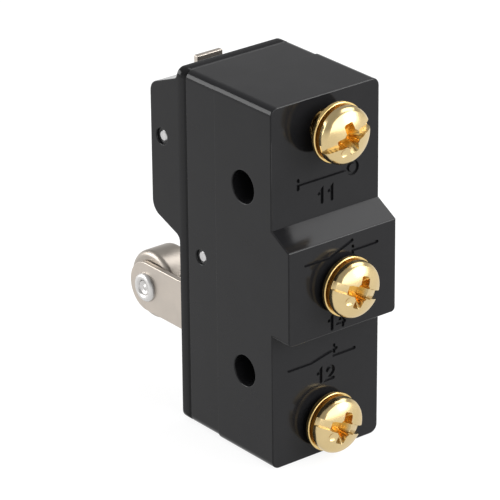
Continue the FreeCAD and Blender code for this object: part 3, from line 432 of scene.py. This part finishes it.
roller_low, roller_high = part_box("roller")
roller_half = (roller_high.y - roller_low.y) / 2
roller_radius = (roller_high.z - roller_low.z) / 2
sweep = np.radians(np.linspace(90, 0, ROUND_STEPS))
rounding = np.column_stack((roller_half - ROLLER_ROUND * (1 - np.sin(sweep)),
                            roller_radius - ROLLER_ROUND * (1 - np.cos(sweep))))
roller_outline = np.vstack(([(-roller_half, ROLLER_BORE)], rounding * (-1, 1), rounding[::-1],
                            [(roller_half, ROLLER_BORE)]))
roller = turned(roller_outline, middle_of("roller"), (0, 1, 0), ROLLER_STEPS, bored=True)
shown("roller_turned", roller, shaded_roller_nickel, "roller", "roller")

rivet_low, rivet_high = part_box("roller_rivet")
near_ear, far_ear = rivet_low.y + DOME_RISE, rivet_high.y - DOME_RISE
sweep = np.radians(np.linspace(LIP_FROM, 180, LIP_STEPS))
lip_mid, lip_half = (RIVET_R + HOLLOW_R) / 2, (RIVET_R - HOLLOW_R) / 2
lip = np.column_stack((near_ear - LIP_RISE * np.sin(sweep), lip_mid - lip_half * np.cos(sweep)))
sweep = np.radians(np.linspace(0, DOME_TO, DOME_STEPS))
dome = np.column_stack((far_ear + DOME_RISE * np.sin(sweep), RIVET_R * np.cos(sweep)))
across = np.linspace(HOLLOW_TIP, HOLLOW_R, HOLLOW_STEPS)
swell = HOLLOW_RISE * (1 + np.cos(2 * math.pi * across / HOLLOW_R)) / 2
hollow = np.column_stack((near_ear - HOLLOW_FLOOR - swell, across))
rivet_outline = np.vstack((hollow, lip, [(near_ear, SHANK_R), (far_ear, SHANK_R)], dome))
rivet_centre = middle_of("roller_rivet")
rivet_centre.y = 0
rivet = turned(rivet_outline, rivet_centre, (0, 1, 0), RIVET_STEPS)
shown("roller_rivet_rolled", rivet, rivet_nickel, "lever", "roller_rivet")

# Plunger, spring and contacts
# Hidden inside, seen only through the slot: a dark moulded plunger, a copper alloy leaf spring on a
# brass anchor, bent brass straps and riveted silver contacts.


def dressed(material, *nodes):
    """Gives the CAD nodes, whose shape is right as it is, their material."""
    for node in nodes:
        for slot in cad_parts[node].material_slots:
            slot.material = material


plunger_red = finish("plunger_red", (0.10, 0.012, 0.010), (0.16, 0.020, 0.016), 1.5, (0.25, 0.4),
                     0.3, 0.002, metallic=0.0)
spring_copper = finish("spring_copper", (0.46, 0.24, 0.12), (0.66, 0.38, 0.20), 1.8, (0.2, 0.38),
                       0.2, 0.002)
strap_brass = finish("strap_brass", (0.55, 0.38, 0.14), (0.72, 0.53, 0.22), 2.2, (0.25, 0.42),
                     0.2, 0.002)
silver = finish("silver", (0.68, 0.67, 0.64), (0.84, 0.83, 0.80), 0.6, (0.15, 0.35), 0.1, 0.002)
dressed(plunger_red, "plunger")
dressed(spring_copper, "snap_spring")
dressed(strap_brass, "spring_anchor", "anchor_rivet", "common_terminal", "open_terminal",
        "closed_terminal")
dressed(silver, "open_contact", "closed_contact", "moving_contact")

# Terminal screws
# Steel screws with a bright yellow plating. The pan head is cold forged: a shallow slot right
# across, a deep cross in its middle and a small round dimple. The thread is rolled. Each screw
# holds a split spring washer and a flat one, and turns in a brass bush.
HEAD_R, HEAD_RIM, HEAD_RISE, HEAD_EDGE, HEAD_GRID = 3.8 * MM, 1.03 * MM, 1.07 * MM, 0.55 * MM, 181
HEAD_SPHERE = (HEAD_R**2 + HEAD_RISE**2) / (2 * HEAD_RISE)
HEAD_UNDER = 0.08 * MM
WALL, SLOT_HALF, SLOT_DEPTH, SLOT_FLOOR = 0.06 * MM, 0.55 * MM, 0.72 * MM, 0.2 * MM
ARM_HALF, ARM_REACH, ARM_FLOOR, ARM_SLOPE = 0.62 * MM, 1.5 * MM, 0.88 * MM, 1.4
ARM_FLAT, ARM_SIDES, CROSS_FLOOR = 0.7, 1.2, 0.1 * MM
NOOK_R, NOOK_FLOOR, NOOK_REACH = 0.42 * MM, 0.5 * MM, 1.6 * MM
DIMPLE_AT, DIMPLE_ANGLE = 1.99 * MM, math.radians(-137.2)
DIMPLE_R, DIMPLE_DEPTH = 0.6 * MM, 0.24 * MM
THREAD_PITCH, THREAD_R, THREAD_DEPTH, SCREW_LENGTH = 0.7 * MM, 1.96 * MM, 0.38 * MM, 6.0 * MM
CREST_GAIN, CREST_DROP, THREAD_STEPS, TURN_STEPS = 1.5, 0.2, 12, 64
NECK, PLAIN, RUNOUT, TAPER = 0.02 * MM, 0.5 * MM, 0.4 * MM, 0.6 * MM
# Painted shade: the cross recess turns deep orange as it goes deeper and the thread turns dark, for
# the shade that falls in them.
RECESS_SHADE_FROM, RECESS_SHADE_OVER = 0.9 * MM, 0.5 * MM
RECESS_SHADE_TONE, THREAD_SHADE_TONE = (0.62, 0.35, 0.07), (0.12, 0.08, 0.03)
FLAT_R, SPRING_R, BORE_R, CORNER_STEPS = 4.0 * MM, 3.4 * MM, 2.1 * MM, 5
FLAT_SOFT, FLAT_STEPS = 0.14 * MM, 96
SPRING_SOFT, SPRING_ROOM, SPRING_LIFT, SPRING_STEPS = 0.05 * MM, 0.03 * MM, 0.05 * MM, 91
SPLIT = math.radians(7)


def step_in(distance):
    """A smooth step of the distance into a cut: 0 outside and 1 inside, over a wall's width."""
    part = np.clip(distance / WALL + 0.5, 0, 1)
    return part * part * (3 - 2 * part)


def dome_height(radius):
    """The plain dome's height over the head's underside: the rim, and on it the cap of a sphere."""
    cap = np.sqrt(np.maximum(HEAD_SPHERE**2 - radius**2, 0))
    return HEAD_RIM + cap - (HEAD_SPHERE - HEAD_RISE)


def head_height(u, v):
    """The head's height over its underside at (u, v), with u along the slot: the dome with a
    rounded shoulder, less the slot, which is evenly deep, the cross, whose floor rises along each
    arm and towards its sides, the round nooks in the cross's inner corners and the dimple."""
    radius = np.hypot(u, v)
    height = dome_height(radius)
    shoulder = np.clip((radius - (HEAD_R - HEAD_EDGE)) / HEAD_EDGE, 0, 1)
    height -= HEAD_EDGE * (1 - np.sqrt(np.maximum(1 - shoulder**2, 0)))
    slot = np.maximum(height - SLOT_DEPTH, SLOT_FLOOR)
    height += (slot - height) * step_in(SLOT_HALF - np.abs(v))
    for across, along in ((v, u), (u, v)):
        floor = np.maximum(ARM_FLOOR + ARM_SLOPE * (np.abs(along) - ARM_REACH), CROSS_FLOOR)
        floor += np.maximum(np.abs(across) - ARM_HALF * ARM_FLAT, 0) * ARM_SIDES
        arm = step_in(ARM_HALF + WALL / 2 - np.abs(across))
        height += (np.minimum(height, floor) - height) * arm
    corner = np.hypot(np.abs(u) - SLOT_HALF, np.abs(v) - SLOT_HALF)
    nook = step_in(NOOK_R - corner) * (radius < NOOK_REACH)
    height += (np.minimum(height, NOOK_FLOOR) - height) * nook
    away = np.hypot(u - DIMPLE_AT * math.cos(DIMPLE_ANGLE), v - DIMPLE_AT * math.sin(DIMPLE_ANGLE))
    return height - DIMPLE_DEPTH * np.clip(1 - (away / DIMPLE_R) ** 2, 0, 1)


def screw_mesh(under, level, angle):
    """The whole screw. The head's top is a square (a, b) pressed into a disc, with
    u = a * sqrt(1 - b * b / 2) and v = b * sqrt(1 - a * a / 2), turned about X by the angle. Below
    it come a rim, an underside and the shank, a grid over turn and length whose radius falls by
    the thread's depth as a triangle wave of length / pitch + turn with its crests cut flat."""
    line = np.linspace(-1, 1, HEAD_GRID)
    a, b = np.meshgrid(line, line, indexing="ij")
    u, v = HEAD_R * a * np.sqrt(1 - b * b / 2), HEAD_R * b * np.sqrt(1 - a * a / 2)
    y = u * math.cos(angle) - v * math.sin(angle)
    z = u * math.sin(angle) + v * math.cos(angle)
    top = np.stack((under + head_height(u, v), y, level + z), axis=-1).reshape(-1, 3)
    index = np.arange(HEAD_GRID**2).reshape(HEAD_GRID, HEAD_GRID)
    quads = np.stack((index[:-1, :-1], index[1:, :-1], index[1:, 1:], index[:-1, 1:]), axis=-1)
    faces = [quads.reshape(-1, 4)]
    border = np.concatenate((index[:-1, 0], index[-1, :-1], index[:0:-1, -1], index[0, :0:-1]))
    spokes = top[border, 1:] - (0, level)
    unit = spokes / np.linalg.norm(spokes, axis=1)[:, None]
    points, previous, used = [top], border, len(top)
    root = THREAD_R - THREAD_DEPTH
    for height, radius in ((HEAD_UNDER, HEAD_R), (0, HEAD_R - HEAD_UNDER), (0, root)):
        now = np.arange(len(unit)) + used
        faces.append(np.stack((previous, np.roll(previous, -1), np.roll(now, -1), now), axis=-1))
        x = np.full(len(unit), under + height)
        points.append(np.column_stack((x, unit * radius + (0, level))))
        previous, used = now, used + len(unit)
    length = np.linspace(NECK, SCREW_LENGTH, int(SCREW_LENGTH / THREAD_PITCH * THREAD_STEPS))
    turn = np.linspace(0, 2 * math.pi, TURN_STEPS, endpoint=False)
    along, around = np.meshgrid(length, turn, indexing="ij")
    wave = np.abs((along / THREAD_PITCH + around / (2 * math.pi)) % 1 * 2 - 1)
    runout = np.clip((along - PLAIN) / RUNOUT, 0, 1)
    tip = np.clip((SCREW_LENGTH - along) / TAPER, 0, 1)
    crest = np.clip(CREST_GAIN * wave - CREST_DROP, 0, 1) * runout
    radius = np.minimum(THREAD_R - THREAD_DEPTH * (1 - crest), THREAD_R - TAPER * (1 - tip))
    y, z = radius * np.cos(around), level + radius * np.sin(around)
    points.append(np.stack((under - along, y, z), axis=-1).reshape(-1, 3))
    grid = np.arange(len(points[-1])).reshape(-1, TURN_STEPS) + used
    after = np.roll(grid, -1, axis=1)
    faces.append(np.stack((grid[:-1], after[:-1], after[1:], grid[1:]), axis=-1).reshape(-1, 4))
    ends = [grid[0].tolist()[::-1], grid[-1].tolist()]
    return closed(np.vstack(points), np.vstack(faces).tolist() + ends)


def write_shade_depth(piece, under, level):
    """Writes the attribute "depth" that the painted shade on the plating follows: 0 on the dome and
    in the slot, up to 0.5 as the cross goes deeper under the dome, and 1 on the thread."""
    place = np.empty(len(piece.data.vertices) * 3, np.float32)
    piece.data.vertices.foreach_get("co", place)
    x, y, z = place.reshape(-1, 3).T
    radius = np.hypot(y, z - level)
    below = under + dome_height(radius) - x
    sunk = np.clip((below - RECESS_SHADE_FROM) / RECESS_SHADE_OVER, 0, 1) * (radius < HEAD_R - HEAD_EDGE) / 2
    depth = piece.data.attributes.new("depth", "FLOAT", "POINT")
    depth.data.foreach_set("value", np.where(x < under, 1, sunk))


def paint_recess_shade(material):
    """Paints shade into the plating by the attribute "depth": deep orange at 0.5 and dark at 1."""
    tree = material.node_tree
    shader, tone = tree.nodes["Principled BSDF"], tree.nodes["colours"].outputs["Result"]
    depth = tree.nodes.new("ShaderNodeAttribute")
    depth.attribute_name = "depth"
    for first, last, colour in ((0, 0.5, RECESS_SHADE_TONE), (0.5, 1, THREAD_SHADE_TONE)):
        part = tree.nodes.new("ShaderNodeMapRange")
        part.inputs["From Min"].default_value = first
        part.inputs["From Max"].default_value = last
        tree.links.new(depth.outputs["Fac"], part.inputs["Value"])
        mix = tree.nodes.new("ShaderNodeMix")
        mix.data_type = "RGBA"
        tree.links.new(part.outputs["Result"], mix.inputs["Factor"])
        tree.links.new(tone, mix.inputs["A"])
        mix.inputs["B"].default_value = (*colour, 1)
        tone = mix.outputs["Result"]
    tree.links.new(tone, shader.inputs["Base Color"])


def washer_outline(low, high, radius, soft):
    """A washer's section as a loop of (x, radius) pairs, with its two outer corners rounded."""
    sweep = np.radians(np.linspace(0, 90, CORNER_STEPS))
    out = radius - soft + soft * np.cos(sweep)
    upper = np.column_stack((high - soft + soft * np.sin(sweep), out))
    lower = np.column_stack((low + soft - soft * np.sin(sweep), out))
    return np.vstack(([(low, BORE_R)], lower[::-1], upper, [(high, BORE_R)]))


def split_ring(section, level, first, last, steps, lift):
    """A spring washer: its section carried round the screw's axis from the first angle to the
    last, rising by lift in all, with its two ends closed. A point is (x + rise, radius * cos,
    level + radius * sin) for each (x, radius) of the section."""
    angles = np.linspace(first, last, steps)[:, None]
    rise = np.linspace(-lift / 2, lift / 2, steps)[:, None]
    x, radius = section[None, :, 0] + rise, section[None, :, 1]
    points = np.stack((x, radius * np.cos(angles), level + radius * np.sin(angles)), axis=-1)
    index = np.arange(steps * len(section)).reshape(steps, -1)
    after = np.roll(index, -1, axis=1)
    quads = np.stack((index[:-1], index[1:], after[1:], after[:-1]), axis=-1).reshape(-1, 4)
    return closed(points, quads.tolist() + [index[0].tolist(), index[-1].tolist()[::-1]])


yellow_plate = finish("yellow_plate", (0.55, 0.42, 0.21), (0.65, 0.505, 0.265), 1.8, (0.19, 0.25),
                      0.3, 0.0008)
paint_recess_shade(yellow_plate)
washer_plate = finish("washer_plate", (0.66, 0.46, 0.18), (0.76, 0.56, 0.24), 1.8, (0.18, 0.26),
                      0.3, 0.001)
# Painted shade: the spring washer, in the shade between the head and the flat washer, is dark brown
# rather than the plating's yellow.
shaded_spring_plate = finish("shaded_spring_plate", (0.17, 0.10, 0.03), (0.24, 0.14, 0.045), 1.2, (0.3, 0.4),
                      0.2, 0.002)
# Painted shade: the bush, in the shade under the washers, is a dark brown rather than brass.
shaded_bush_brass = finish("shaded_bush_brass", (0.16, 0.10, 0.04), (0.26, 0.17, 0.07), 0.8, (0.45, 0.6),
                    0.15, 0.003)
for terminal, slot_angle in (("common", 15), ("open", -24), ("closed", -24)):
    flat_low, flat_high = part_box(terminal + "_flat_washer")
    split_low, split_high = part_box(terminal + "_spring_washer")
    level = middle_of(terminal + "_flat_washer").z
    angle = math.radians(slot_angle)
    screw = shown(terminal + "_screw_plated", screw_mesh(split_high.x, level, angle), yellow_plate,
                  terminal + "_screw", terminal + "_screw")
    write_shade_depth(screw, split_high.x, level)
    section = washer_outline(flat_low.x, flat_high.x, FLAT_R, FLAT_SOFT)
    flat = turned(section, (0, 0, level), (1, 0, 0), FLAT_STEPS, bored=True)
    shown(terminal + "_flat_washer_plated", flat, washer_plate, terminal + "_washers",
          terminal + "_flat_washer")
    section = washer_outline(split_low.x + SPRING_ROOM, split_high.x - SPRING_ROOM, SPRING_R,
                             SPRING_SOFT)
    spring = split_ring(section, level, angle + SPLIT / 2, angle + 2 * math.pi - SPLIT / 2,
                        SPRING_STEPS, SPRING_LIFT)
    shown(terminal + "_spring_washer_plated", spring, shaded_spring_plate, terminal + "_washers",
          terminal + "_spring_washer")
    dressed(shaded_bush_brass, terminal + "_bush")

# Studio
# A white table in a white room whose walls darken above the level of the switch. One large soft box
# hangs overhead, one stands low on the left and two on the right, all outside the picture.
FLOOR_GAP, FLOOR_HALF = 0.1 * MM, 1.5
FLOOR_SHADE, FLOOR_GLOW, SURROUND = 0.2, 0.86, 0.5
WALL_LOW, WALL_HIGH, WALL_DARK = 0.12, 0.36, 0.5
WHITE = (1, 1, 1, 1)
CENTRE = Vector((-4, 0, 12)) * MM


def lit(name, place, width, height, power):
    """A soft box: a rectangle of light at a place, facing the switch."""
    lamp = bpy.data.lights.new(name, "AREA")
    lamp.shape, lamp.size, lamp.size_y, lamp.energy = "RECTANGLE", width, height, power
    holder = bpy.data.objects.new(name, lamp)
    aim = (CENTRE - Vector(place)).to_track_quat("-Z", "Y").to_matrix().to_4x4()
    holder.matrix_world = Matrix.Translation(place) @ aim
    bpy.context.scene.collection.objects.link(holder)


lit("overhead_box", (0.08, 0.40, 0.58), 0.46, 0.5, 2.5)
lit("right_box", (0.62, 0.20, 0.30), 1.1, 0.58, 5.0)
lit("right_core", (0.54, 0.41, 0.24), 0.24, 0.26, 1.5)
lit("left_box", (-0.51, -0.46, 0.25), 0.5, 0.36, 3.4)


def white_where_seen(tree, lights, seen, *rays):
    """Picks one shader for rays of the kinds named and the other for the rest."""
    path = tree.nodes.new("ShaderNodeLightPath")
    total = path.outputs[rays[0]]
    for ray in rays[1:]:
        more = tree.nodes.new("ShaderNodeMath")
        more.operation, more.use_clamp = "ADD", True
        tree.links.new(total, more.inputs[0])
        tree.links.new(path.outputs[ray], more.inputs[1])
        total = more.outputs[0]
    pick = tree.nodes.new("ShaderNodeMixShader")
    tree.links.new(total, pick.inputs["Fac"])
    tree.links.new(lights.outputs[0], pick.inputs[1])
    tree.links.new(seen.outputs[0], pick.inputs[2])
    return pick


floor_z = cad_box[0].z - FLOOR_GAP
floor_data = bpy.data.meshes.new("floor")
floor_data.from_pydata([(-FLOOR_HALF, -FLOOR_HALF, floor_z), (FLOOR_HALF, -FLOOR_HALF, floor_z),
                        (FLOOR_HALF, FLOOR_HALF, floor_z), (-FLOOR_HALF, FLOOR_HALF, floor_z)],
                       [], [(0, 1, 2, 3)])
floor = bpy.data.objects.new("floor", floor_data)
bpy.context.scene.collection.objects.link(floor)
paper = bpy.data.materials.new("paper")
paper.use_nodes = True
tree = paper.node_tree
tree.nodes.clear()
sheet = tree.nodes.new("ShaderNodeBsdfDiffuse")
sheet.inputs["Color"].default_value = (FLOOR_SHADE, FLOOR_SHADE, FLOOR_SHADE, 1)
dark, glow = tree.nodes.new("ShaderNodeEmission"), tree.nodes.new("ShaderNodeEmission")
dark.inputs["Strength"].default_value, glow.inputs["Strength"].default_value = 0, FLOOR_GLOW
pick = white_where_seen(tree, dark, glow, "Is Camera Ray", "Is Glossy Ray", "Is Transmission Ray")
both = tree.nodes.new("ShaderNodeAddShader")
tree.links.new(sheet.outputs[0], both.inputs[0])
tree.links.new(pick.outputs[0], both.inputs[1])
tree.links.new(both.outputs[0], tree.nodes.new("ShaderNodeOutputMaterial").inputs["Surface"])
floor_data.materials.append(paper)

world = bpy.data.worlds.new("surround")
bpy.context.scene.world = world
world.use_nodes = True
tree = world.node_tree
tree.nodes.clear()
air, white = tree.nodes.new("ShaderNodeBackground"), tree.nodes.new("ShaderNodeBackground")
for background, strength in ((air, SURROUND), (white, 1)):
    background.inputs["Color"].default_value = WHITE
    background.inputs["Strength"].default_value = strength
direction = tree.nodes.new("ShaderNodeTexCoord")
height = tree.nodes.new("ShaderNodeSeparateXYZ")
tree.links.new(direction.outputs["Generated"], height.inputs[0])
wall = tree.nodes.new("ShaderNodeMapRange")
for limit, value in (("From Min", WALL_LOW), ("From Max", WALL_HIGH),
                     ("To Min", 1), ("To Max", WALL_DARK)):
    wall.inputs[limit].default_value = value
tree.links.new(height.outputs["Z"], wall.inputs["Value"])
tree.links.new(wall.outputs["Result"], white.inputs["Strength"])
pick = white_where_seen(tree, air, white, "Is Camera Ray", "Is Glossy Ray", "Is Transmission Ray")
tree.links.new(pick.outputs[0], tree.nodes.new("ShaderNodeOutputWorld").inputs["Surface"])
bpy.context.scene.view_settings.view_transform = "Standard"
